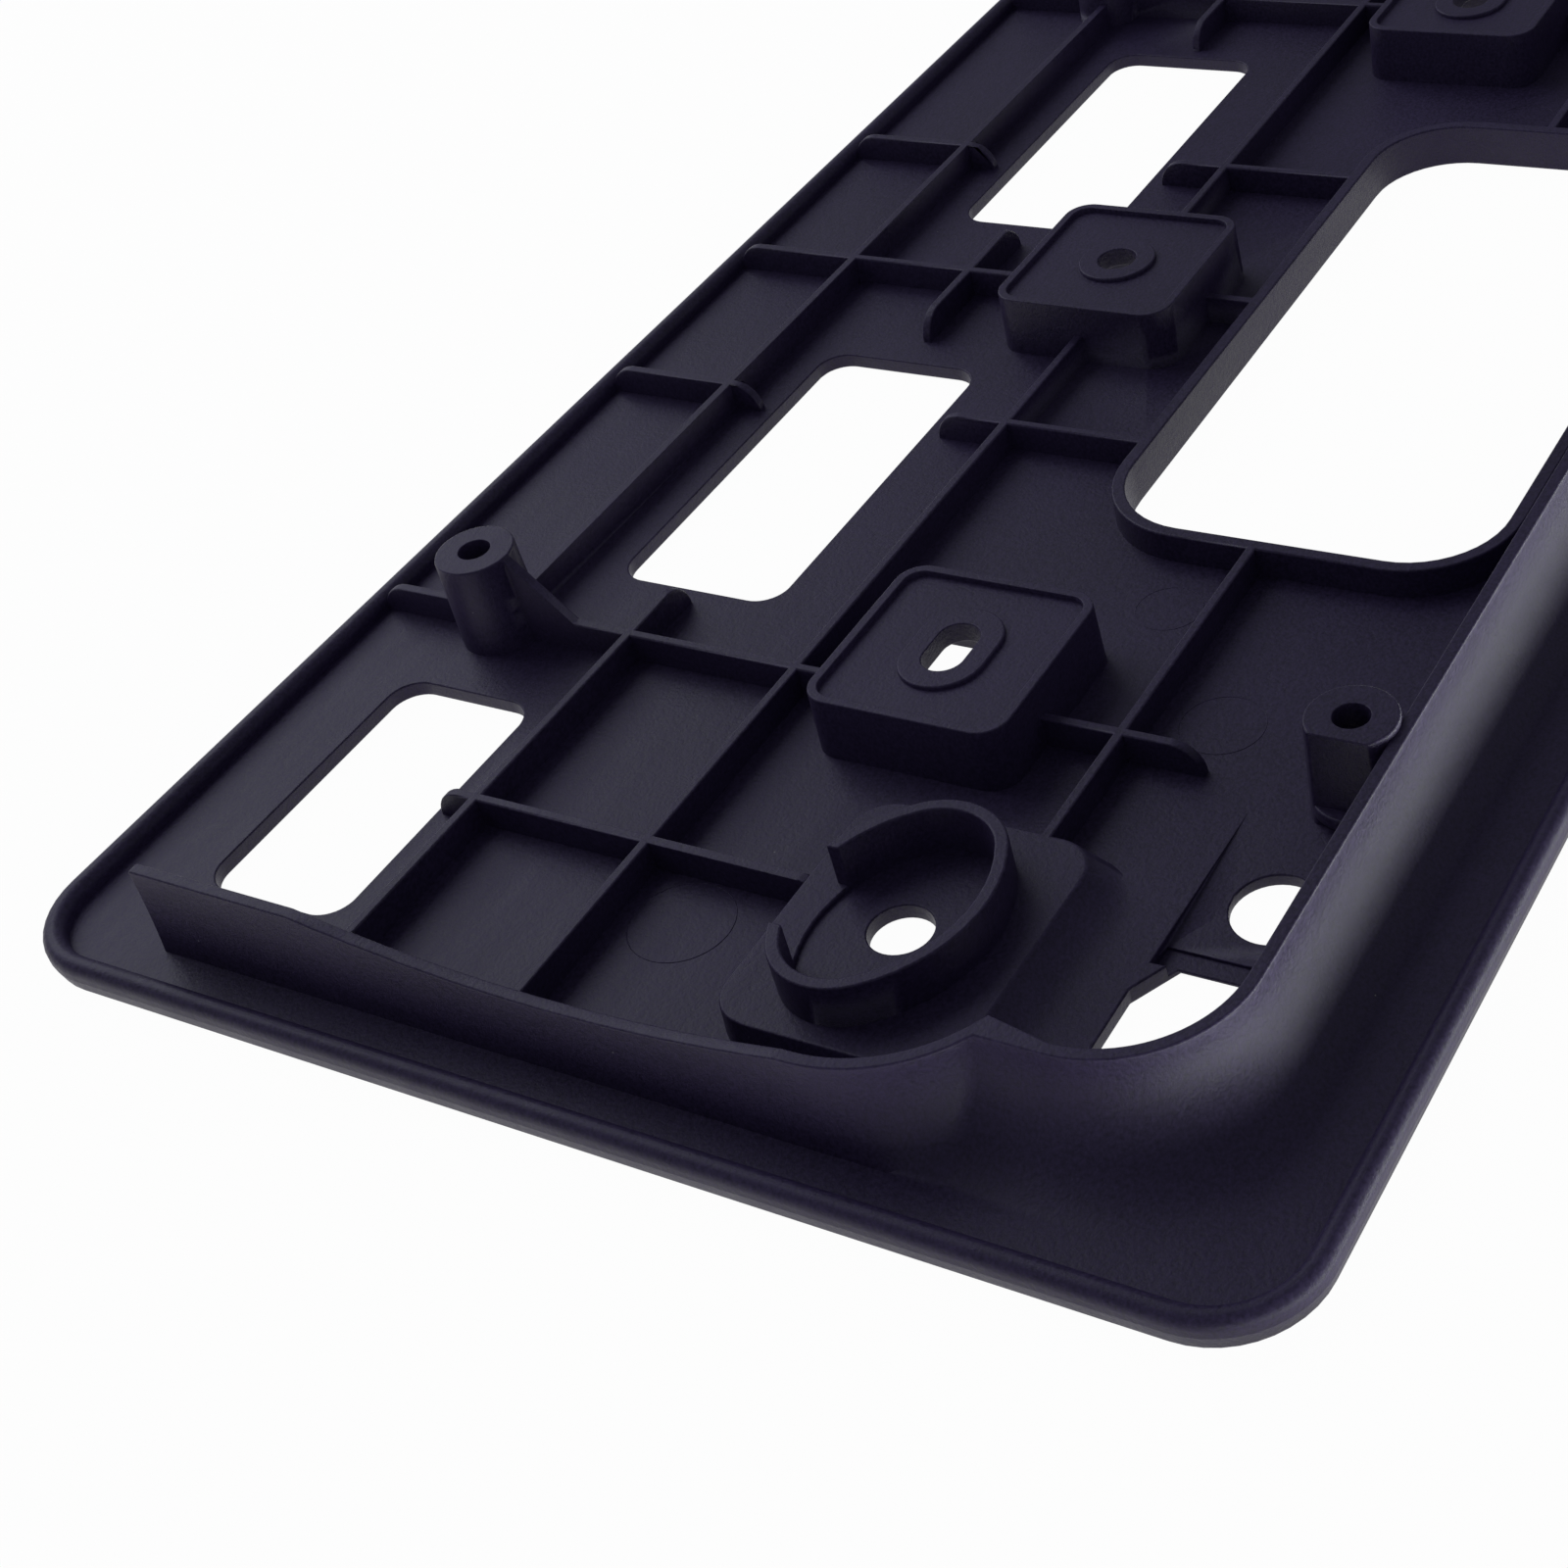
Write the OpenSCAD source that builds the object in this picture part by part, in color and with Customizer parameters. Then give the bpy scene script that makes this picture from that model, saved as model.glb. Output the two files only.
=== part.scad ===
// Number plate holder, one injection moulding, back side up.
// X runs along the length, Y across it, Z from the plate side to the back.
// The origin is the centre of the outline, in the plane that meets the plate.
// The holder is the same on both sides of the plane X = 0.

/* [Plate] */
// Length of the outline
plate_l = 319.2; // [300:0.2:340]
// Width of the outline
plate_w = 165; // [156:0.5:180]
// Thickness of the panel
plate_t = 2.1; // [1.6:0.1:2.6]
// Radius of the outline's corners
corner_r = 12; // [8:0.5:16]
// Inward taper of the edge, from the parting line to the plate side
edge_taper = 0.5; // [0:0.1:0.8]

/* [Rim] */
// Width of the bead that runs round the edge
rim_w = 2.8; // [2:0.1:3.6]
// Height of the bead above the panel
rim_h = 2.2; // [1.8:0.1:3]

/* [Ribs] */
// Thickness of the ribs
rib_t = 1.3; // [1:0.1:1.8]
// Height of the ribs above the panel
rib_h = 4; // [3:0.1:5]
// Y of the rib between the upper bosses
rib_top_y = 58.85; // [57:0.05:60]
// Y of the rib below the outer windows
rib_upper_y = 38.7; // [36:0.1:41]
// Y of the long rib above the middle opening
rib_middle_y = 13.3; // [11:0.1:15]
// Y of the rib from the cup to the middle opening
rib_lower_y = -31.2; // [-34:0.1:-28]
// X of the outer cross ribs
rib_outer_x = 121.15; // [119:0.05:123]
// X of the inner cross ribs
rib_inner_x = 35; // [32:0.5:38]
// Where the upper rib ends, past the boss ribs
rib_stub_x = 77; // [76:0.5:84]
// Y of the lower ends of the boss ribs
rib_boss_end_y = -41.5; // [-46:0.5:-36]
// Half length of the short rib at the centre
rib_centre_half = 14; // [8:0.5:17]

/* [Windows] */
// Length of the outer windows
win_outer_l = 40; // [34:0.5:44]
// Width of the outer windows
win_outer_w = 21.3; // [18:0.1:22]
// X of the outer windows' centres
win_outer_x = 121.2; // [119:0.1:124]
// Y of the outer windows' centres
win_outer_y = 56.6; // [55:0.1:60]
// Length of the inner windows
win_inner_l = 55.4; // [48:0.2:56]
// Width of the inner windows
win_inner_w = 25.2; // [20:0.1:26]
// X of the inner windows' centres
win_inner_x = 47; // [46:0.2:48]
// Y of the inner windows' centres
win_inner_y = 39.4; // [38.6:0.1:40]
// Corner radius of the windows
win_r = 4; // [2:0.5:7]

/* [Middle opening] */
// Length of the opening
open_l = 103.2; // [90:0.2:108]
// Width of the opening
open_w = 50.6; // [46:0.2:53]
// Y of the opening's centre
open_y = -34; // [-34.6:0.1:-33]
// Corner radius of the opening
open_r = 11.5; // [8:0.5:15]
// Thickness of the collar round the opening
collar_t = 1.8; // [1.2:0.1:2.4]

/* [Screw bosses] */
// Distance between the bosses along the plate
boss_dx = 177.8; // [176:0.1:180]
// Distance between the bosses across the plate
boss_dy = 120.65; // [119:0.05:122]
// Height of the boss tops above the plate side
boss_h = 15; // [12:0.5:18]
// Diameter of a boss at its top
boss_d = 10.5; // [9:0.1:12]
// Diameter of the screw holes
boss_hole_d = 4.2; // [3:0.1:5]
// Distance from a lower boss's axis to its flat
boss_flat = 3.9; // [3.2:0.1:4.6]
// Growth of a boss's diameter from its top to its foot
boss_draft = 0.7; // [0.2:0.1:1.2]
// Height of the round foot below a lower boss's flat
boss_foot_h = 2.6; // [1:0.1:4]
// Length of the fin beside an upper boss
fin_l = 8; // [4:0.5:12]

/* [Pads] */
// Side length of the square pads at the top
pad_s = 27; // [24:0.5:30]
// Height of the pads above the plate side
pad_h = 10.6; // [9:0.1:13]
// Corner radius of the pads
pad_r = 3.6; // [2:0.1:5]
// Draft of the pads' sides, as a share of their height
pad_draft = 0.03; // [0.01:0.01:0.06]
// Thickness of a pad's top
pad_top_t = 2.1; // [1.5:0.1:3]
// Wall of the pads
pad_wall = 2; // [1.4:0.1:3]
// Width of the lip round a pad's top
lip_w = 1.2; // [0.8:0.1:1.8]
// Height of the lip
lip_h = 0.8; // [0.4:0.1:1.2]
// X of the outer pads
pad_x = 85.1; // [83:0.1:88]
// Y of the outer pads
pad_y = -7.6; // [-9:0.1:-6]
// Length of the slot in an outer pad
slot_l = 9; // [7:0.1:11]
// Width of the slot
slot_w = 5.4; // [4:0.1:6.4]
// Length of the raised ring round the slot
ring_l = 15; // [13:0.2:18]
// Width of the raised ring
ring_w = 11; // [9:0.2:13]
// Height of the raised ring
ring_h = 0.6; // [0.3:0.1:0.8]
// Diameter of the hole in the centre pad
pad_hole_d = 5.5; // [4:0.1:7]

/* [Cup] */
// X of the cup's centre
cup_x = 124.9; // [123:0.1:127]
// Y of the cup's centre
cup_y = -22.8; // [-24:0.1:-21]
// Length of the cup's oval
cup_l = 30.4; // [28:0.2:32]
// Width of the oval
cup_w = 22.2; // [20:0.2:24]
// End radius of the oval
cup_end_r = 8.6; // [7.5:0.1:9.5]
// Slant of the oval's long axis
cup_slant = 12; // [0:1:16]
// Thickness of the cup's wall
cup_wall = 1.6; // [1.2:0.1:2.2]
// Height of the cup's wall above the plate side
cup_h = 11.7; // [9:0.1:14]
// Depth of the cup's floor below the top of its base
cup_sink = 0.6; // [0.2:0.1:1.5]
// Y of the step where the cup's floor starts
cup_step_y = -13; // [-15:0.1:-12]
// Width of the gap in the cup's wall
cup_gap = 12; // [6:0.2:16]
// X of the gap's middle
cup_gap_x = -126.8; // [-129:0.1:-124]
// Diameter of the cup's hole
cup_hole_d = 7.5; // [6:0.1:9]
// X of the cup's hole
cup_hole_x = -124.4; // [-127:0.1:-122]
// Y of the cup's hole
cup_hole_y = -22.6; // [-25:0.1:-21]
// X of the base's outer side
base_x0 = -142.4; // [-143:0.1:-141.6]
// X of the base's inner side
base_x1 = -107; // [-108:0.1:-105]
// Y of the base's lower side
base_y0 = -38.2; // [-39:0.1:-36]
// Y of the base's upper side
base_y1 = -8.6; // [-10:0.1:-7]
// Wall of the base
cup_base_wall = 2.2; // [1.6:0.1:3]
// Corner radius of the base that carries the cup
cup_base_r = 5; // [3:0.5:7]
// Outward slope of the base's lower side
cup_base_slope = 4.5; // [2:0.1:6]

/* [Skirt] */
// Height of the skirt's top above the plate side
skirt_h = 14.1; // [12:0.1:16]
// Thickness of the skirt at its top
skirt_t = 1.6; // [1.2:0.1:2.2]
// Distance from the outline's end to the skirt's foot
skirt_end_in = 7.6; // [6:0.1:9]
// Distance from the outline's side to the skirt's foot
skirt_side_in = 9; // [7:0.1:11]
// Width of the cove along the side
cove_side_w = 6.7; // [4:0.1:8]
// Width of the cove at the end
cove_end_w = 9.9; // [8:0.1:11]
// Lean of the blade where there is no cove
blade_lean = 0.7; // [0.4:0.1:1.4]
// Corner radius of the skirt's top edge
cove_top_r = 16; // [12:0.5:18]
// Corner radius of the cove's foot
cove_foot_r = 15; // [12:0.5:20]
// Y where the blade starts, near the upper corner
blade_start_y = 63.3; // [56:0.1:68]
// Length over which the blade swings inward, below its dip
swing_l = 16.6; // [14:0.2:18]
// Depth of the dip in the blade's top edge
dip_depth = 3; // [0:0.1:5]
// Length of the dip along Y
dip_l = 65; // [50:1:66]
// Length of level edge between the dip and the swing
dip_flat = 0.8; // [0.4:0.1:3]
// Y of the dip's middle
dip_y = 6.5; // [4:0.5:10]

/* [Corner tab] */
// X of the tab's inner end
tab_x = 93; // [92:0.2:95]
// X of the tab's outer end, at the corner cut-out
tab_end_x = 116.5; // [114:0.1:119]
// Y of the tab's upper edge
tab_y = -48.6; // [-50:0.1:-47]
// How far the tab's outer end lies below the panel's top
tab_drop = 1.1; // [0.4:0.1:1.3]
// Depth of the step at the tab's outer end
tab_step = 0.35; // [0.1:0.05:0.5]
// Width of that step
tab_step_w = 2.4; // [1:0.1:3]
// Diameter of the tab's hole
tab_hole_d = 10; // [8:0.2:12]
// X of the tab's hole
tab_hole_x = 105.8; // [103:0.1:108]
// Y of the tab's hole
tab_hole_y = -57.4; // [-58:0.1:-56]
// X of the corner cut-out's outer edge
cut_x = 131; // [128:0.2:133]
// Y of the corner cut-out's upper edge
cut_y = -48.1; // [-50:0.1:-47]
// Chamfer at the cut-out's inner upper corner
cut_chamfer = 5.3; // [3:0.1:7]

/* [Hidden] */
$fn = 96;
half_l = plate_l / 2;
half_w = plate_w / 2;
rib_top = plate_t + rib_h;
bead_r = rim_w / 2;
boss_x = boss_dx / 2;
boss_y = boss_dy / 2;
// Skirt: foot line, corner centre of its top edge, swing arc and dip arc
foot_x = half_l - skirt_end_in;
foot_y = half_w - skirt_side_in;
cove_h = skirt_h - plate_t;
arc_x = foot_x - cove_end_w - cove_top_r;
arc_y = foot_y - cove_side_w - cove_top_r;
foot_arc_x = foot_x - cove_foot_r;
foot_arc_y = foot_y - cove_foot_r;
swing_y = dip_y - dip_l / 2 - dip_flat;
swing_in = cove_end_w - blade_lean;
swing_r = (swing_l * swing_l + swing_in * swing_in) / (2 * swing_in);
dip_r = (dip_l * dip_l / 4 + dip_depth * dip_depth) / (2 * dip_depth);
sink = 0.5;
foot_sink = 0.03;
cut = 0.5;
cut_margin = 0.15;

// Radius of a cove that is upright at its top and w wide
function cove_r(w) = (w * w + cove_h * cove_h) / (2 * w);

// Points up the cove's face, foot to top, as [distance in, height]
function cove_pts(w, m) = let (r = cove_r(w), a = asin(min(1, (cove_h + foot_sink) / r)))
    [for (i = [0 : m]) let (b = a * (1 - i / m)) [w - r + r * cos(b), skirt_h - r * sin(b)]];

// Rounded rectangle, centred
module round_rect(l, w, r)
{
    square([l - 2 * r, w], center = true);
    square([l, w - 2 * r], center = true);
    for (sx = [-1, 1], sy = [-1, 1])
        translate([sx * (l / 2 - r), sy * (w / 2 - r)])
            circle(r);
}

// Slot along X, l long overall
module slot2d(l, w)
{
    square([l - w, w], center = true);
    for (s = [-1, 1])
        translate([s * (l - w) / 2, 0])
            circle(d = w);
}

// Four-centre oval, l long and w wide, with end radius r
module oval2d(l, w, r)
{
    e = l / 2 - r;
    big = (e * e + w * w / 4 - r * r) / (w - 2 * r);
    k = e * big / (big - r);
    intersection()
    {
        translate([0, big - w / 2])
            circle(big, $fn = 180);
        translate([0, w / 2 - big])
            circle(big, $fn = 180);
        square([2 * k, w], center = true);
    }
    for (s = [-1, 1])
        translate([s * e, 0])
            circle(r);
}

// Block with rounded corners and drafted sides, s square at its top
module draft_block(s, r, z0, z1)
{
    g = (z1 - z0) * pad_draft;
    for (turn = [0, 90])
        rotate([0, 0, turn])
            translate([0, s / 2 - r, z0])
                rotate([90, 0, 0])
                    linear_extrude(s - 2 * r)
                        polygon([[-s / 2 - g, 0], [s / 2 + g, 0], [s / 2, z1 - z0], [-s / 2, z1 - z0]]);
    for (sx = [-1, 1], sy = [-1, 1])
        translate([sx * (s / 2 - r), sy * (s / 2 - r), z0])
            cylinder(r1 = r + g, r2 = r, h = z1 - z0);
}

// Rib l long along X from its start; an end marked 1 curves down to the panel
module rib(l, drop0, drop1)
{
    a = drop0 * rib_h;
    b = l - drop1 * rib_h;
    translate([a, -rib_t / 2, plate_t - sink])
        cube([b - a, rib_t, rib_h + sink]);
    translate([0, rib_t / 2, plate_t])
        rotate([90, 0, 0])
            linear_extrude(rib_t)
            {
                if (drop0 > 0)
                    rib_end(a, 1);
                if (drop1 > 0)
                    rib_end(b, 0);
            }
}

// Quarter round at a rib's end
module rib_end(at, back)
{
    intersection()
    {
        translate([at, 0])
            circle(rib_h);
        translate([at - back * rib_h - (1 - back) * 0.1, -sink])
            square([rib_h + 0.1, rib_h + sink]);
    }
}

module rib_x(x0, x1, y, drop0, drop1)
{
    translate([x0, y, 0])
        rib(x1 - x0, drop0, drop1);
}

module rib_y(x, y0, y1, drop0, drop1)
{
    translate([x, y0, 0])
        rotate([0, 0, 90])
            rib(y1 - y0, drop0, drop1);
}

// Section of the edge, from the outline inward: panel edge and bead
module edge_profile(depth)
{
    polygon([[edge_taper, 0], [depth, 0], [depth, plate_t], [rim_w, plate_t],
        [rim_w, plate_t + rim_h - bead_r], [0, plate_t + rim_h - bead_r], [0, plate_t]]);
    translate([bead_r, plate_t + rim_h - bead_r])
        circle(bead_r);
}

// Straight run of the edge, l long, whose outline lies at distance d
module edge_run(d, l)
{
    translate([d, l / 2, 0])
        rotate([90, 0, 0])
            linear_extrude(l)
                mirror([1, 0])
                    edge_profile(corner_r);
}

// Panel with the bead round its edge
module panel()
{
    for (s = [0, 180])
    {
        rotate([0, 0, s])
            edge_run(half_l, plate_w - 2 * corner_r);
        rotate([0, 0, s + 90])
            edge_run(half_w, plate_l - 2 * corner_r);
    }
    for (q = [0 : 3])
        translate([((q == 0 || q == 3) ? 1 : -1) * (half_l - corner_r), (q < 2 ? 1 : -1) * (half_w - corner_r), 0])
            rotate([0, 0, q * 90])
                rotate_extrude(angle = 90)
                    translate([corner_r, 0])
                        mirror([1, 0])
                            edge_profile(corner_r);
    translate([corner_r - half_l, corner_r - half_w, 0])
        cube([plate_l - 2 * corner_r, plate_w - 2 * corner_r, plate_t]);
}

// Stations of the skirt, each [foot, direction in, width of cove, thickness]
function swing_stations(n) = [for (i = [0 : n])
    let (s = swing_l * i / n, w = blade_lean + swing_r - sqrt(swing_r * swing_r - s * s))
    [[-foot_x, swing_y - s], [1, 0], w, skirt_t * swing_r / sqrt(swing_r * swing_r - s * s)]];

// Distance outward from the top edge's corner arc to the foot line, at angle f
function corner_w(f) = let (tx = -arc_x - cove_top_r * cos(f), ty = -arc_y - cove_top_r * sin(f),
    w1 = cos(f) > 0.01 ? (foot_x + tx) / cos(f) : 1000, w2 = sin(f) > 0.01 ? (foot_y + ty) / sin(f) : 1000,
    dx = tx + foot_arc_x, dy = ty + foot_arc_y, b = dx * cos(f) + dy * sin(f))
    ty - w1 * sin(f) >= -foot_arc_y ? w1 : tx - w2 * cos(f) >= -foot_arc_x ? w2 :
    b + sqrt(b * b - dx * dx - dy * dy + cove_foot_r * cove_foot_r);

function corner_stations(n) = [for (i = [0 : n]) let (f = 90 * i / n, w = corner_w(f), r = cove_top_r + w)
    [[-arc_x - r * cos(f), -arc_y - r * sin(f)], [cos(f), sin(f)], w, skirt_t]];

// Section at one station, as points in space
function section(st, m) = let (f = st[0], d = st[1], w = st[2], t = st[3])
    [for (p = concat([[-0.1, plate_t - sink]], cove_pts(w, m), [[w + t, skirt_h], [w + t, plate_t - sink]]))
        [f[0] + d[0] * p[0], f[1] + d[1] * p[0], p[1]]];

// The same stations on the other half, in reverse order
function mirrored(st) = [for (i = [len(st) - 1 : -1 : 0]) let (s = st[i])
    [[-s[0][0], s[0][1]], [-s[1][0], s[1][1]], s[2], s[3]]];

// Concave skirt: blade, swing, cove round each corner and along the side
module skirt_sweep(n, m)
{
    half = concat([[[-foot_x, blade_start_y], [1, 0], blade_lean, skirt_t]], swing_stations(n), corner_stations(2 * n));
    st = concat(half, mirrored(half));
    k = m + 4;
    last = len(st) - 1;
    faces = concat([[for (j = [k - 1 : -1 : 0]) j]],
        [for (i = [0 : last - 1], j = [0 : k - 1]) let (a = i * k + j, b = i * k + (j + 1) % k) each
            [[a, b, b + k], [a, b + k, a + k]]],
        [[for (j = [0 : k - 1]) last * k + j]]);
    polyhedron([for (s = st) each section(s, m)], faces, convexity = 6);
}

// Skirt with the dip in the top edge of both blades
module skirt()
{
    difference()
    {
        skirt_sweep(12, 14);
        translate([-half_l, dip_y, skirt_h - dip_depth + dip_r])
            rotate([0, 90, 0])
                cylinder(r = dip_r, h = plate_l, $fn = 360);
    }
}

// Screw boss with drafted side; the lower ones have a flat above a round foot
module boss(flat)
{
    difference()
    {
        translate([0, 0, plate_t - sink])
            cylinder(d1 = boss_d + boss_draft, d2 = boss_d, h = boss_h - plate_t + sink);
        if (flat > 0)
            translate([-boss_d - boss_flat, -boss_d, plate_t + boss_foot_h])
                cube([boss_d, 2 * boss_d, boss_h]);
    }
}

// Triangular fin from an upper boss down to the rib
module fin()
{
    translate([rib_t / 2, 0, 0])
        rotate([90, 0, -90])
            linear_extrude(rib_t)
                polygon([[0, plate_t], [0, boss_h - 0.6], [boss_d / 2, boss_h - 0.6],
                    [boss_d / 2 + fin_l, rib_top], [boss_d / 2 + fin_l, plate_t]]);
}

// Square pad with a lip, a raised ring, a hole and a hollow plate side
module pad_body(ring)
{
    difference()
    {
        draft_block(pad_s, pad_r, 0, pad_h);
        translate([0, 0, pad_h - lip_h])
            linear_extrude(lip_h + 1)
                round_rect(pad_s - 2 * lip_w, pad_s - 2 * lip_w, pad_r - lip_w);
    }
    translate([0, 0, pad_h - lip_h - sink])
        linear_extrude(sink + ring_h)
            if (ring > 0)
                slot2d(ring_l, ring_w);
            else
                circle(d = ring_w);
}

module pad_cuts(ring)
{
    translate([0, 0, -cut])
        linear_extrude(pad_h - lip_h - pad_top_t + cut)
            round_rect(pad_s - 2 * pad_wall, pad_s - 2 * pad_wall, pad_r - pad_wall + 0.5);
    if (ring > 0)
        translate([0, 0, -cut])
            linear_extrude(pad_h + 2 * cut)
                slot2d(slot_l, slot_w);
    else
        translate([0, 0, -cut])
            cylinder(d = pad_hole_d, h = pad_h + 2 * cut);
}

// Base that carries the cup, sloped on its lower side
module cup_base()
{
    hull()
        for (sx = [0, 1], sy = [0, 1])
            translate([sx > 0 ? base_x1 - cup_base_r : base_x0 + cup_base_r,
                sy > 0 ? base_y1 - cup_base_r : base_y0 + cup_base_r, 0])
            {
                translate([0, 0, rib_top - 0.1])
                    cylinder(r = cup_base_r, h = 0.1, $fn = 32);
                translate([0, sy > 0 ? 0 : -cup_base_slope / 2, plate_t - sink])
                    cylinder(r = cup_base_r + (sy > 0 ? 0.3 : cup_base_slope / 2), h = 0.1, $fn = 32);
            }
}

module cup_place()
{
    translate([-cup_x, cup_y, 0])
        rotate([0, 0, -cup_slant])
            children();
}

// Oval wall of the cup, open on its upper side
module cup_wall_ring()
{
    difference()
    {
        cup_place()
            translate([0, 0, rib_top - sink])
                linear_extrude(cup_h - rib_top + sink)
                    difference()
                    {
                        oval2d(cup_l, cup_w, cup_end_r);
                        oval2d(cup_l - 2 * cup_wall, cup_w - 2 * cup_wall, cup_end_r - cup_wall);
                    }
        translate([cup_gap_x - cup_gap / 2, cup_y, rib_top])
            cube([cup_gap, cup_w, cup_h]);
    }
}

// Sunk floor inside the cup, with its straight step at the gap
module cup_cuts()
{
    intersection()
    {
        cup_place()
            translate([0, 0, rib_top - cup_sink])
                linear_extrude(2 * cup_sink)
                    oval2d(cup_l - 2 * cup_wall, cup_w - 2 * cup_wall, cup_end_r - cup_wall);
        translate([-half_l, -half_w, 0])
            cube([half_l, half_w + cup_step_y, skirt_h]);
    }
    translate([cup_hole_x, cup_hole_y, -cut])
        cylinder(d = cup_hole_d, h = cup_h);
    translate([(base_x0 + base_x1) / 2, (base_y0 + base_y1) / 2, -cut])
        linear_extrude(rib_top - cup_sink - plate_t + cut)
            round_rect(base_x1 - base_x0 - 2 * cup_base_wall, base_y1 - base_y0 - 2 * cup_base_wall,
                cup_base_r - cup_base_wall);
}

// Space above the tilted tab, cut into the panel
module tab_cut()
{
    translate([0, tab_y, 0])
        rotate([90, 0, 0])
            linear_extrude(tab_y + foot_y - cove_side_w - skirt_t)
                polygon([[-tab_x, plate_t], [-tab_x, plate_t + 1], [-tab_end_x - 1, plate_t + 1],
                    [-tab_end_x - 1, plate_t - tab_drop - tab_step], [-tab_end_x + tab_step_w, plate_t - tab_drop - tab_step],
                    [-tab_end_x + tab_step_w, plate_t - tab_drop]]);
}

// Cut-out in the corner, bounded outside by the skirt
module corner_cut()
{
    translate([0, 0, -cut])
        linear_extrude(plate_t + 2 * cut)
            intersection()
            {
                polygon([[-cut_x, cut_y], [-tab_end_x - cut_chamfer, cut_y],
                    [-tab_end_x, cut_y - cut_chamfer * 0.55], [-tab_end_x, -half_w], [-cut_x, -half_w]]);
                union()
                {
                    translate([-arc_x, -arc_y])
                        circle(cove_top_r - skirt_t - cut_margin);
                    translate([-arc_x, -arc_y - cove_top_r + skirt_t + cut_margin])
                        square([arc_x, cove_top_r]);
                    translate([-arc_x - cove_top_r + skirt_t + cut_margin, -arc_y])
                        square([cove_top_r, cove_top_r]);
                }
            }
}

// Everything that stands on one half of the panel
module half_body()
{
    rib_x(-foot_x + 1, -rib_stub_x, rib_upper_y, 0, 1);
    rib_x(-foot_x + 1, -pad_s / 2 + 1, rib_middle_y, 0, 0);
    rib_x(base_x1 - 1, -open_l / 2 - collar_t / 2, rib_lower_y, 0, 0);
    rib_y(-rib_outer_x, base_y1 - rib_h + 1, win_outer_y - win_outer_w / 2 - 1, 1, 1);
    rib_y(-boss_x, rib_boss_end_y, half_w - rim_w + 0.3, 1, 1);
    rib_y(-rib_inner_x, win_inner_y + win_inner_w / 2 + 2, half_w - rim_w + 0.3, 1, 1);
    rib_y(-rib_inner_x, open_y + open_w / 2 + collar_t / 2, win_inner_y - win_inner_w / 2 - 2.5, 0, 1);
    translate([-boss_x, boss_y, 0])
    {
        boss(0);
        fin();
    }
    translate([-boss_x, -boss_y, 0])
        boss(1);
    translate([-pad_x, pad_y, 0])
        pad_body(1);
    cup_base();
    cup_wall_ring();
}

module half_cuts()
{
    for (w = [[win_outer_x, win_outer_y, win_outer_l, win_outer_w], [win_inner_x, win_inner_y, win_inner_l, win_inner_w]])
        translate([-w[0], w[1], -cut])
            linear_extrude(plate_t + 2 * cut)
                round_rect(w[2], w[3], win_r);
    for (s = [-1, 1])
        translate([-boss_x, s * boss_y, -cut])
            cylinder(d = boss_hole_d, h = boss_h + 2 * cut);
    translate([-pad_x, pad_y, 0])
        pad_cuts(1);
    translate([-tab_hole_x, tab_hole_y, -cut])
        cylinder(d = tab_hole_d, h = plate_t + 2 * cut);
    cup_cuts();
    tab_cut();
    corner_cut();
}

// What stands on the middle of the panel
module middle_body()
{
    rib_x(-boss_x, boss_x, rib_top_y, 0, 0);
    rib_x(-rib_centre_half, rib_centre_half, rib_upper_y, 1, 1);
    rib_y(0, rib_middle_y + pad_s / 2 - 1, half_w - rim_w + 0.3, 0, 1);
    rib_y(0, open_y + open_w / 2 + collar_t / 2, rib_middle_y - pad_s / 2 + 1, 0, 0);
    translate([0, rib_middle_y, 0])
        pad_body(0);
    skirt();
    translate([0, open_y, plate_t - sink])
        linear_extrude(rib_h + sink)
            round_rect(open_l + 2 * collar_t, open_w + 2 * collar_t, open_r + collar_t);
}

module plate_holder()
{
    color("#1d1c22")
        difference()
        {
            union()
            {
                panel();
                middle_body();
                half_body();
                mirror([1, 0, 0])
                    half_body();
            }
            half_cuts();
            mirror([1, 0, 0])
                half_cuts();
            translate([0, rib_middle_y, 0])
                pad_cuts(0);
            translate([0, open_y, -cut])
                linear_extrude(rib_top + 2 * cut)
                    round_rect(open_l, open_w, open_r);
        }
}

plate_holder();
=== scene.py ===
"""Number plate holder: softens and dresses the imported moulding, lights it and sets the camera."""
import math

import bmesh
import bpy
from bpy.props import FloatProperty, FloatVectorProperty, PointerProperty
from mathutils import Euler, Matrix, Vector


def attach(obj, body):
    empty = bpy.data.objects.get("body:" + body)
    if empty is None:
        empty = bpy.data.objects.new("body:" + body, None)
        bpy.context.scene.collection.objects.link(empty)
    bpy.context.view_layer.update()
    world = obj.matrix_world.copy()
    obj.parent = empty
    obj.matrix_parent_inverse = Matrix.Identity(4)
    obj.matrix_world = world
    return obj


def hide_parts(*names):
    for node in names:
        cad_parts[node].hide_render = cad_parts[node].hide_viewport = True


bl_info = {
    "name": "Number plate holder",
    "version": (1, 0, 0),
    "blender": (4, 5, 0),
    "location": "View3D > Sidebar > Plate holder",
    "description": "Black moulded plastic finish, studio and camera for a number plate holder",
    "category": "Object",
}

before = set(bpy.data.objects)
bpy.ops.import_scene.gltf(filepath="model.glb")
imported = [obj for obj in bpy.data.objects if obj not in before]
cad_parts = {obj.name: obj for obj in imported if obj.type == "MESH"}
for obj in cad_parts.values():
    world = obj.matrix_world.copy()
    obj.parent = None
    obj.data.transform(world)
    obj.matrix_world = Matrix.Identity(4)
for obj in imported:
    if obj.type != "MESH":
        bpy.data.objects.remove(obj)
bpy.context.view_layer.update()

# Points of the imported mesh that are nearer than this, in metres, are one point
MERGE_REACH = 0.000002

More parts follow.
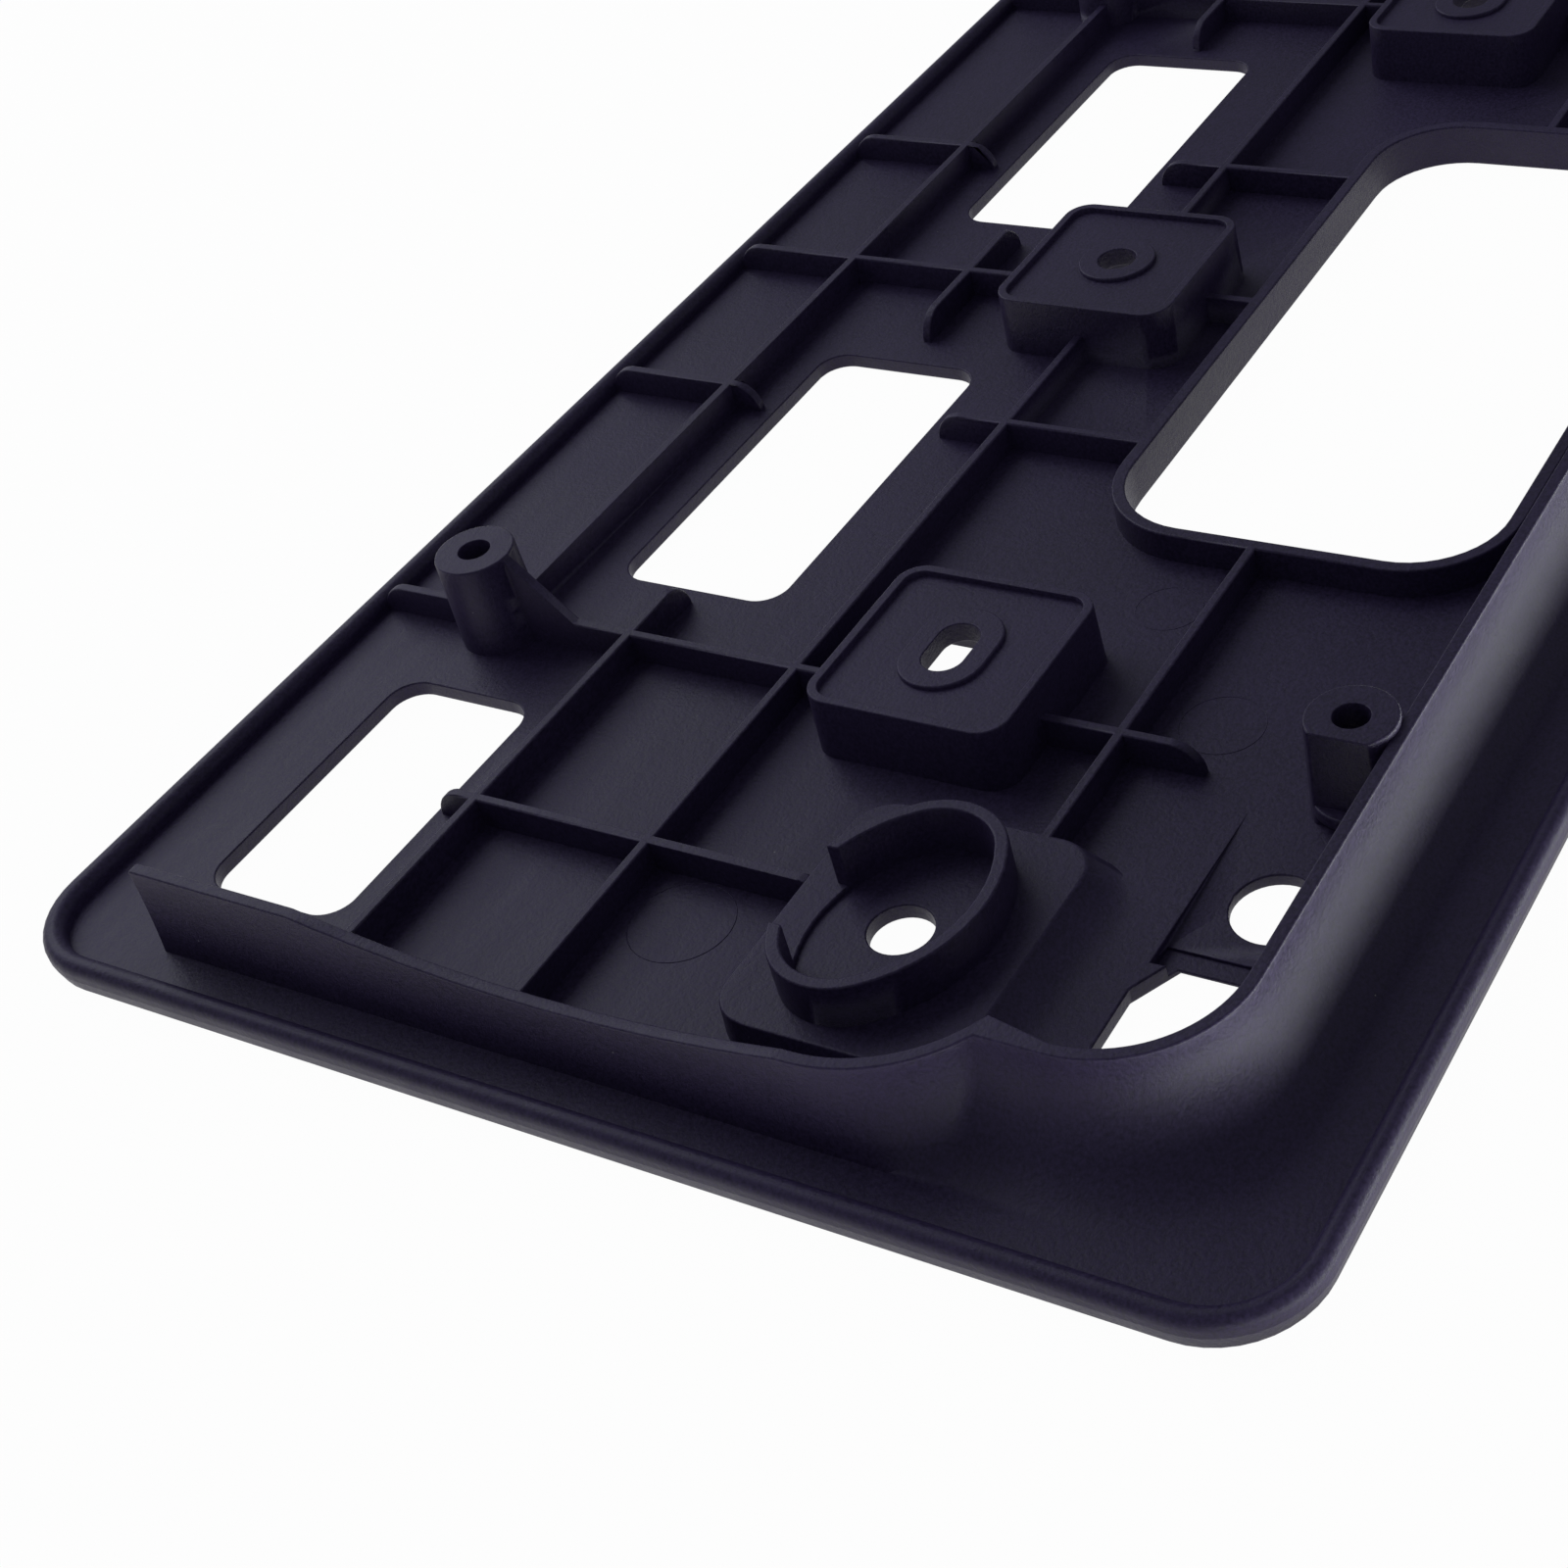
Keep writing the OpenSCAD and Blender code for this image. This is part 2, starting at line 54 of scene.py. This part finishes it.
# Faces that turn less than this are one flat face, and edges that turn less are shaded smooth
FLAT_WITHIN = math.radians(0.6)
SMOOTH_BELOW = math.radians(38.0)

# Share of its shortest neighbour's length that the rounding of an edge may take
ROOM_SHARE = 0.4

# Lower part of the crease where each blade runs into its corner, in metres
CREASE_HALF_WIDTH = 0.0012
CREASE_INNER_X = 0.138
CREASE_BOTTOM = 0.0026

# Parting line: how level its edges lie, in metres, and how upright the faces beside it stand
LEVEL_WITHIN = 0.00002
UPRIGHT_BELOW = 0.4

# Repeats to the metre of the patterns in the plastic
PATCHES = 28.0
STREAKS = (40.0, 260.0, 260.0)
DUST_CELLS = 330.0

# Darkest and lightest speckle as shares of the plastic's colour
SPECKLE_DARK = 0.62
SPECKLE_LIGHT = 1.4

# Centre and radius of each round ejector mark on the left half, in metres; the right half mirrors them
EJECTOR_PLACES = ((-0.1284, 0.0047, 0.0063), (-0.0806, -0.0396, 0.0051), (-0.0623, -0.0239, 0.0042))

# The ring that is scaled to each mark, and how finely it and its line are divided
RING_RADIUS = 0.005
RING_STEPS = 72
LINE_STEPS = 8

# Places of a Mix node's colour sockets, whose names its number and vector sockets share
MIX_A, MIX_B, MIX_RESULT = 6, 7, 2

# Half the floor's width and its height, a hair under the part, in metres
FLOOR_HALF = 6.0
FLOOR_HEIGHT = -0.0001


class Wire:
    """A shader socket whose operators add Math nodes."""

    def __init__(self, tree, socket):
        self.tree = tree
        self.socket = socket

    def math(self, operation, *others):
        node = self.tree.node("ShaderNodeMath", {"operation": operation})
        for slot, value in enumerate((self,) + others):
            self.tree.plug(node.inputs[slot], value)
        return Wire(self.tree, node.outputs[0])

    def __add__(self, other):
        return self.math("ADD", other)

    def __radd__(self, other):
        return self.math("ADD", other)

    def __mul__(self, other):
        return self.math("MULTIPLY", other)

    def __rmul__(self, other):
        return self.math("MULTIPLY", other)

    def __sub__(self, other):
        return self.math("SUBTRACT", other)

    def __rsub__(self, other):
        return (self * -1.0).math("ADD", other)

    def __gt__(self, other):
        return self.math("GREATER_THAN", other)

    def __lt__(self, other):
        return self.math("LESS_THAN", other)


class Finish:
    """A material's node tree, built node by node."""

    def __init__(self, tree):
        self.nodes = tree.nodes
        self.links = tree.links
        self.nodes.clear()

    def node(self, kind, settings=None, values=None):
        made = self.nodes.new(kind)
        for name, value in (settings or {}).items():
            setattr(made, name, value)
        for name, value in (values or {}).items():
            self.plug(made.inputs[name], value)
        return made

    def plug(self, socket, value):
        if isinstance(value, Wire):
            self.links.new(value.socket, socket)
        elif isinstance(value, bpy.types.NodeSocket):
            self.links.new(value, socket)
        else:
            socket.default_value = value

    def wire(self, node, output=0):
        return Wire(self, node.outputs[output])

    def mix(self, factor, colour_a, colour_b):
        node = self.node("ShaderNodeMix", {"data_type": "RGBA"})
        self.plug(node.inputs["Factor"], factor)
        self.plug(node.inputs[MIX_A], colour_a)
        self.plug(node.inputs[MIX_B], colour_b)
        return node.outputs[MIX_RESULT]

    def ramp(self, value, low, high):
        node = self.node("ShaderNodeMapRange", {"clamp": True}, {"From Min": low, "From Max": high})
        self.plug(node.inputs["Value"], value)
        return self.wire(node)


class MouldingSettings(bpy.types.PropertyGroup):
    colour: FloatVectorProperty(
        name="Plastic", description="Colour of the black plastic",
        subtype="COLOR", size=3, min=0.0, max=1.0, default=(0.0345, 0.0245, 0.0665))
    dust_colour: FloatVectorProperty(
        name="Dust", description="Colour of the dust specks",
        subtype="COLOR", size=3, min=0.0, max=1.0, default=(0.30, 0.29, 0.31))
    roughness: FloatProperty(
        name="Roughness", description="Roughness of the mould's texture",
        min=0.2, max=0.9, default=0.48)
    grain: FloatProperty(
        name="Grain", description="Width of a grain of the moulded texture",
        subtype="DISTANCE", unit="LENGTH", min=0.0001, max=0.002, default=0.00045)
    edge_round: FloatProperty(
        name="Edge rounding", description="Width of the rounding on the hard edges",
        subtype="DISTANCE", unit="LENGTH", min=0.0001, max=0.001, default=0.00028)
    parting_height: FloatProperty(
        name="Parting line", description="Height of the parting line on the outer edge",
        subtype="DISTANCE", unit="LENGTH", min=0.001, max=0.004, default=0.0021)
    crease_y: FloatProperty(
        name="Crease", description="Where the blade runs into the corner",
        subtype="DISTANCE", unit="LENGTH", min=-0.06, max=-0.02, default=-0.0434)
    crease_foot: FloatProperty(
        name="Crease foot", description="Height below which that crease fades",
        subtype="DISTANCE", unit="LENGTH", min=0.003, max=0.014, default=0.0095)
    hard_from: FloatProperty(
        name="Hard edge", description="Smallest angle that counts as a hard edge",
        subtype="ANGLE", min=0.2, max=1.5, default=0.5)


class EjectorSettings(bpy.types.PropertyGroup):
    line: FloatProperty(
        name="Line", description="Radius of the raised line of a mark",
        subtype="DISTANCE", unit="LENGTH", min=0.00002, max=0.0004, default=0.00005)
    panel_top: FloatProperty(
        name="Panel top", description="Height of the panel's upper face",
        subtype="DISTANCE", unit="LENGTH", min=0.001, max=0.004, default=0.0021)


class StageSettings(bpy.types.PropertyGroup):
    floor_colour: FloatVectorProperty(
        name="Floor", description="Colour of the pale floor",
        subtype="COLOR", size=3, min=0.0, max=1.0, default=(0.88, 0.88, 0.88))
    floor_glow: FloatProperty(
        name="Floor whiteness", description="How far the floor shows as pure white",
        min=0.0, max=1.0, default=0.975)
    horizon: FloatProperty(
        name="Horizon", description="Brightness of the surround near the floor",
        min=0.0, max=2.0, default=0.32)
    ceiling: FloatProperty(
        name="Ceiling", description="Brightness of the room overhead",
        min=0.0, max=1.0, default=0.16)
    back_power: FloatProperty(
        name="Back lamp", description="Power of the broad soft lamp behind the part",
        unit="POWER", min=0.0, max=50.0, default=8.9)
    table_power: FloatProperty(
        name="Lit table", description="Power of the lit strip of table beside the part",
        unit="POWER", min=0.0, max=50.0, default=4.9)
    light_colour: FloatVectorProperty(
        name="Light", description="Colour of the cool studio light",
        subtype="COLOR", size=3, min=0.0, max=1.0, default=(0.86, 0.88, 1.0))
    table_colour: FloatVectorProperty(
        name="Table light", description="Colour of the light off the table",
        subtype="COLOR", size=3, min=0.0, max=1.0, default=(0.93, 1.0, 0.91))
    camera_place: FloatVectorProperty(
        name="Camera", description="Where the camera stands",
        subtype="TRANSLATION", unit="LENGTH", size=3, default=(-0.27591, -0.15736, 0.18836))
    camera_turn: FloatVectorProperty(
        name="Camera turn", description="How the camera is turned, in degrees",
        size=3, default=(49.3839, 10.5200, -61.4285))
    lens: FloatProperty(
        name="Lens", description="Focal length in millimetres",
        min=10.0, max=200.0, default=58.96)


def opaque(colour, share=1.0):
    """A share of a colour, with full alpha."""
    return tuple(channel * share for channel in colour) + (1.0,)


def moulded_plastic(settings):
    """Matte black plastic with the mould's grain and a little dust."""
    material = bpy.data.materials.new("moulded_plastic")
    material.use_nodes = True
    f = Finish(material.node_tree)
    place = f.node("ShaderNodeTexCoord").outputs["Object"]

    def noise(scale, detail=2.0, rough=0.5):
        values = {"Vector": place, "Scale": scale, "Detail": detail, "Roughness": rough}
        return f.wire(f.node("ShaderNodeTexNoise", values=values))

    # grain, clouding and flow lines
    fine = noise(1.0 / settings.grain, 3.0, 0.6)
    coarse = noise(0.35 / settings.grain)
    patches = noise(PATCHES, 3.0)
    stretched = f.node("ShaderNodeMapping", values={"Vector": place, "Scale": STREAKS})
    streaks = f.wire(f.node("ShaderNodeTexNoise", values={
        "Vector": stretched.outputs[0], "Scale": 1.0, "Detail": 3.0}))

    # sparse dust
    cells = f.node("ShaderNodeTexVoronoi", {"feature": "F1"}, {"Vector": place, "Scale": DUST_CELLS})
    pick = f.node("ShaderNodeSeparateColor", values={"Color": cells.outputs["Color"]})
    dust = (f.wire(cells) < 0.035) * (f.wire(pick) > 0.93)

    speckle = f.ramp(fine * 0.7 + patches * 0.3, 0.35, 0.65)
    colour = f.mix(speckle, opaque(settings.colour, SPECKLE_DARK), opaque(settings.colour, SPECKLE_LIGHT))
    colour = f.mix(dust * 0.8, colour, opaque(settings.dust_colour))
    roughness = (settings.roughness + (fine - 0.5) * 0.24 + (patches - 0.5) * 0.10
                 + (streaks - 0.5) * 0.14)
    bump = f.node("ShaderNodeBump", values={
        "Strength": 0.62, "Distance": 0.00018, "Height": fine * 0.5 + coarse * 0.3 + streaks * 0.2})
    shader = f.node("ShaderNodeBsdfPrincipled", values={
        "Base Color": colour, "Roughness": roughness, "Normal": bump.outputs[0], "IOR": 1.5,
        "Specular IOR Level": 0.32})
    f.node("ShaderNodeOutputMaterial", values={"Surface": shader.outputs[0]})
    return material


def pale_floor(settings):
    """Floor that shows as white, also in reflections, and keeps the part's soft shadow."""
    material = bpy.data.materials.new("pale_floor")
    material.use_nodes = True
    f = Finish(material.node_tree)
    path = f.node("ShaderNodeLightPath")
    seen = Wire(f, path.outputs["Is Camera Ray"])
    for ray in ("Is Glossy Ray", "Is Transmission Ray"):
        seen = seen.math("MAXIMUM", Wire(f, path.outputs[ray]))
    matt = f.node("ShaderNodeBsdfDiffuse", values={"Color": opaque(settings.floor_colour)})
    glow = f.node("ShaderNodeEmission", values={"Color": (1.0, 1.0, 1.0, 1.0), "Strength": 1.0})
    blend = f.node("ShaderNodeMixShader", values={
        0: seen * settings.floor_glow, 1: matt.outputs[0], 2: glow.outputs[0]})
    f.node("ShaderNodeOutputMaterial", values={"Surface": blend.outputs[0]})
    return material


def finished_mesh(piece, context):
    """The piece's mesh with its modifiers worked in."""
    solid = piece.evaluated_get(context.evaluated_depsgraph_get())
    mesh = bpy.data.meshes.new_from_object(solid)
    piece.modifiers.clear()
    return mesh


def rounding_share(edge, settings):
    """How much of the full rounding an outward edge has room for, beside its shortest neighbour."""
    if len(edge.link_faces) != 2 or not edge.is_convex or edge.calc_face_angle() < settings.hard_from:
        return 0.0
    room = min(other.calc_length() for corner in edge.verts
               for other in corner.link_edges if other != edge)
    return min(1.0, ROOM_SHARE * room / settings.edge_round)


def in_fading_crease(edge, settings):
    """Whether an edge is in the lower part of the crease where the blade runs into the corner."""
    middle = (edge.verts[0].co + edge.verts[1].co) / 2.0
    return (abs(middle.y - settings.crease_y) < CREASE_HALF_WIDTH and abs(middle.x) > CREASE_INNER_X
            and CREASE_BOTTOM < middle.z < settings.crease_foot)


def mark_parting_line(mesh, height):
    """Keep the line crisp where the halves of the mould met, round the outer edge."""
    form = bmesh.new()
    form.from_mesh(mesh)
    for edge in form.edges:
        level = all(abs(corner.co.z - height) < LEVEL_WITHIN for corner in edge.verts)
        upright = all(abs(face.normal.z) < UPRIGHT_BELOW for face in edge.link_faces)
        if level and upright and len(edge.link_faces) == 2:
            edge.smooth = False
    form.to_mesh(mesh)
    form.free()


def softened_moulding(node, settings, context):
    """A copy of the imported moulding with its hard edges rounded, as they leave a mould."""
    form = bmesh.new()
    form.from_mesh(node.data)
    bmesh.ops.remove_doubles(form, verts=form.verts, dist=MERGE_REACH)
    bmesh.ops.dissolve_degenerate(form, edges=form.edges, dist=MERGE_REACH)
    bmesh.ops.dissolve_limit(form, angle_limit=FLAT_WITHIN, use_dissolve_boundaries=False,
                             verts=form.verts, edges=form.edges, delimit=set())
    share = form.edges.layers.float.new("bevel_weight_edge")
    for edge in form.edges:
        edge[share] = 0.0 if in_fading_crease(edge, settings) else rounding_share(edge, settings)
    mesh = bpy.data.meshes.new("moulding")
    form.to_mesh(mesh)
    form.free()
    piece = bpy.data.objects.new("moulding", mesh)
    context.scene.collection.objects.link(piece)

    rounding = piece.modifiers.new("rounding", "BEVEL")
    rounding.limit_method = "WEIGHT"
    rounding.width = settings.edge_round
    rounding.segments = 2
    rounding.use_clamp_overlap = False
    piece.data = finished_mesh(piece, context)
    piece.data.shade_smooth()
    piece.data.set_sharp_from_angle(angle=SMOOTH_BELOW)
    mark_parting_line(piece.data, settings.parting_height)

    shading = piece.modifiers.new("even shading", "WEIGHTED_NORMAL")
    shading.mode = "FACE_AREA_WITH_ANGLE"
    shading.keep_sharp = True
    # Many-sided faces with points in a line leave a crack unless they are cut into well shaped triangles
    cutting = piece.modifiers.new("cutting", "TRIANGULATE")
    cutting.min_vertices = 5
    cutting.ngon_method = "BEAUTY"
    cutting.keep_custom_normals = True
    piece.data = finished_mesh(piece, context)
    return piece


def ring_tree():
    """Geometry Nodes that lay a thin raised ring on each point."""
    tree = bpy.data.node_groups.new("ejector_rings", "GeometryNodeTree")
    face = tree.interface
    face.new_socket("Points", in_out="INPUT", socket_type="NodeSocketGeometry")
    inputs = {name: face.new_socket(name, in_out="INPUT", socket_type=kind).identifier
              for name, kind in (("Line", "NodeSocketFloat"), ("Material", "NodeSocketMaterial"))}
    face.new_socket("Rings", in_out="OUTPUT", socket_type="NodeSocketGeometry")

    start = tree.nodes.new("NodeGroupInput")
    end = tree.nodes.new("NodeGroupOutput")
    radius = tree.nodes.new("GeometryNodeInputNamedAttribute")
    path = tree.nodes.new("GeometryNodeCurvePrimitiveCircle")
    line = tree.nodes.new("GeometryNodeCurvePrimitiveCircle")
    sweep = tree.nodes.new("GeometryNodeCurveToMesh")
    spread = tree.nodes.new("GeometryNodeInstanceOnPoints")
    solid = tree.nodes.new("GeometryNodeRealizeInstances")
    finish = tree.nodes.new("GeometryNodeSetMaterial")
    radius.inputs["Name"].default_value = "scale"
    path.inputs["Radius"].default_value = RING_RADIUS
    path.inputs["Resolution"].default_value = RING_STEPS
    line.inputs["Resolution"].default_value = LINE_STEPS
    for source, target in (
            (radius.outputs["Attribute"], spread.inputs["Scale"]),
            (start.outputs["Line"], line.inputs["Radius"]),
            (path.outputs["Curve"], sweep.inputs["Curve"]),
            (line.outputs["Curve"], sweep.inputs["Profile Curve"]),
            (start.outputs["Points"], spread.inputs["Points"]),
            (sweep.outputs["Mesh"], spread.inputs["Instance"]),
            (spread.outputs["Instances"], solid.inputs["Geometry"]),
            (solid.outputs["Geometry"], finish.inputs["Geometry"]),
            (start.outputs["Material"], finish.inputs["Material"]),
            (finish.outputs["Geometry"], end.inputs["Rings"])):
        tree.links.new(source, target)
    return tree, inputs


class PLATEHOLDER_OT_moulding(bpy.types.Operator):
    """Stand a softened, grained copy in the place of the plain moulding"""
    bl_idname = "plateholder.moulding"
    bl_label = "Moulding"

    def execute(self, context):
        settings = context.scene.plateholder_moulding
        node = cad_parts["plate_holder"]
        material = moulded_plastic(settings)
        piece = softened_moulding(node, settings, context)
        piece.data.materials.clear()
        piece.data.materials.append(material)
        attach(piece, "root")
        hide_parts("plate_holder")
        return {"FINISHED"}


class PLATEHOLDER_OT_ejector_marks(bpy.types.Operator):
    """Lay the round ejector marks on the panel"""
    bl_idname = "plateholder.ejector_marks"
    bl_label = "Ejector marks"

    def execute(self, context):
        settings = context.scene.plateholder_ejectors
        places = [(side * x, y, r) for x, y, r in EJECTOR_PLACES for side in (1.0, -1.0)]
        mesh = bpy.data.meshes.new("ejector_marks")
        mesh.from_pydata([(x, y, settings.panel_top) for x, y, r in places], [], [])
        scale = mesh.attributes.new("scale", "FLOAT", "POINT")
        scale.data.foreach_set("value", [r / RING_RADIUS for x, y, r in places])
        piece = bpy.data.objects.new("ejector_marks", mesh)
        context.scene.collection.objects.link(piece)

        tree, inputs = ring_tree()
        rings = piece.modifiers.new("rings", "NODES")
        rings.node_group = tree
        rings[inputs["Line"]] = settings.line
        rings[inputs["Material"]] = bpy.data.materials["moulded_plastic"]
        piece.data = finished_mesh(piece, context)

        form = bmesh.new()
        form.from_mesh(piece.data)
        bmesh.ops.remove_doubles(form, verts=form.verts, dist=0.000001)
        bmesh.ops.recalc_face_normals(form, faces=form.faces)
        form.to_mesh(piece.data)
        form.free()
        piece.data.shade_smooth()
        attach(piece, "root")
        return {"FINISHED"}


class PLATEHOLDER_OT_stage(bpy.types.Operator):
    """Make the pale floor, the soft light and the camera"""
    bl_idname = "plateholder.stage"
    bl_label = "Stage"

    def execute(self, context):
        settings = context.scene.plateholder_stage
        self.floor(context, settings)
        self.surround(context, settings)
        self.lamp(context, "back", place=(0.32, 1.18, 1.03), way=(-0.32, -1.18, -1.03), size=(1.3, 1.3),
                  power=settings.back_power, colour=settings.light_colour)
        self.lamp(context, "table", place=(0.35, -0.19, 0.001), way=(0.0, 0.0, 1.0), size=(1.22, 0.20),
                  power=settings.table_power, colour=settings.table_colour)
        self.camera(context, settings)
        return {"FINISHED"}

    def floor(self, context, settings):
        mesh = bpy.data.meshes.new("floor")
        corners = ((-1.0, -1.0), (1.0, -1.0), (1.0, 1.0), (-1.0, 1.0))
        mesh.from_pydata([(x * FLOOR_HALF, y * FLOOR_HALF, FLOOR_HEIGHT) for x, y in corners],
                         [], [(0, 1, 2, 3)])
        floor = bpy.data.objects.new("floor", mesh)
        context.scene.collection.objects.link(floor)
        mesh.materials.append(pale_floor(settings))

    def surround(self, context, settings):
        world = bpy.data.worlds.new("surround")
        world.use_nodes = True
        context.scene.world = world
        f = Finish(world.node_tree)
        way = f.node("ShaderNodeTexCoord").outputs["Generated"]
        up = f.wire(f.node("ShaderNodeSeparateXYZ", values={"Vector": way}), 2)
        level = settings.horizon + f.ramp(up, 0.05, 0.55) * (settings.ceiling - settings.horizon)
        glow = f.node("ShaderNodeBackground", values={
            "Color": opaque(settings.light_colour), "Strength": level})
        f.node("ShaderNodeOutputWorld", values={"Surface": glow.outputs[0]})

    def lamp(self, context, name, place, way, size, power, colour):
        data = bpy.data.lights.new(name, "AREA")
        data.energy = power
        data.color = colour
        data.shape = "RECTANGLE"
        data.size, data.size_y = size
        lamp = bpy.data.objects.new(name, data)
        lamp.location = place
        lamp.rotation_euler = Vector(way).to_track_quat("-Z", "Y").to_euler()
        lamp.visible_camera = False
        context.scene.collection.objects.link(lamp)

    def camera(self, context, settings):
        data = bpy.data.cameras.new("camera")
        data.sensor_fit = "AUTO"
        data.sensor_width = 36.0
        data.lens = settings.lens
        data.shift_x = -0.14492
        data.shift_y = 0.00682
        data.clip_start = 0.01
        data.clip_end = 50.0
        camera = bpy.data.objects.new("camera", data)
        camera.location = settings.camera_place
        camera.rotation_euler = Euler([math.radians(angle) for angle in settings.camera_turn])
        context.scene.collection.objects.link(camera)
        context.scene.camera = camera
        context.scene.view_settings.view_transform = "Standard"


class PLATEHOLDER_PT_panel(bpy.types.Panel):
    """Sizes, colours and pieces of the plate holder"""
    bl_label = "Plate holder"
    bl_space_type = "VIEW_3D"
    bl_region_type = "UI"
    bl_category = "Plate holder"

    def draw(self, context):
        column = self.layout.column()
        scene = context.scene
        for group in (scene.plateholder_moulding, scene.plateholder_ejectors, scene.plateholder_stage):
            for name in group.__annotations__:
                column.prop(group, name)
        for operator in OPERATORS:
            column.operator(operator.bl_idname)


OPERATORS = (PLATEHOLDER_OT_stage, PLATEHOLDER_OT_moulding, PLATEHOLDER_OT_ejector_marks)
CLASSES = (MouldingSettings, EjectorSettings, StageSettings) + OPERATORS + (PLATEHOLDER_PT_panel,)


def register():
    for cls in CLASSES:
        bpy.utils.register_class(cls)
    bpy.types.Scene.plateholder_moulding = PointerProperty(type=MouldingSettings)
    bpy.types.Scene.plateholder_ejectors = PointerProperty(type=EjectorSettings)
    bpy.types.Scene.plateholder_stage = PointerProperty(type=StageSettings)


def unregister():
    del bpy.types.Scene.plateholder_stage
    del bpy.types.Scene.plateholder_ejectors
    del bpy.types.Scene.plateholder_moulding
    for cls in reversed(CLASSES):
        bpy.utils.unregister_class(cls)


def main():
    register()
    bpy.ops.plateholder.stage()
    bpy.ops.plateholder.moulding()
    bpy.ops.plateholder.ejector_marks()


if __name__ == "__main__":
    main()
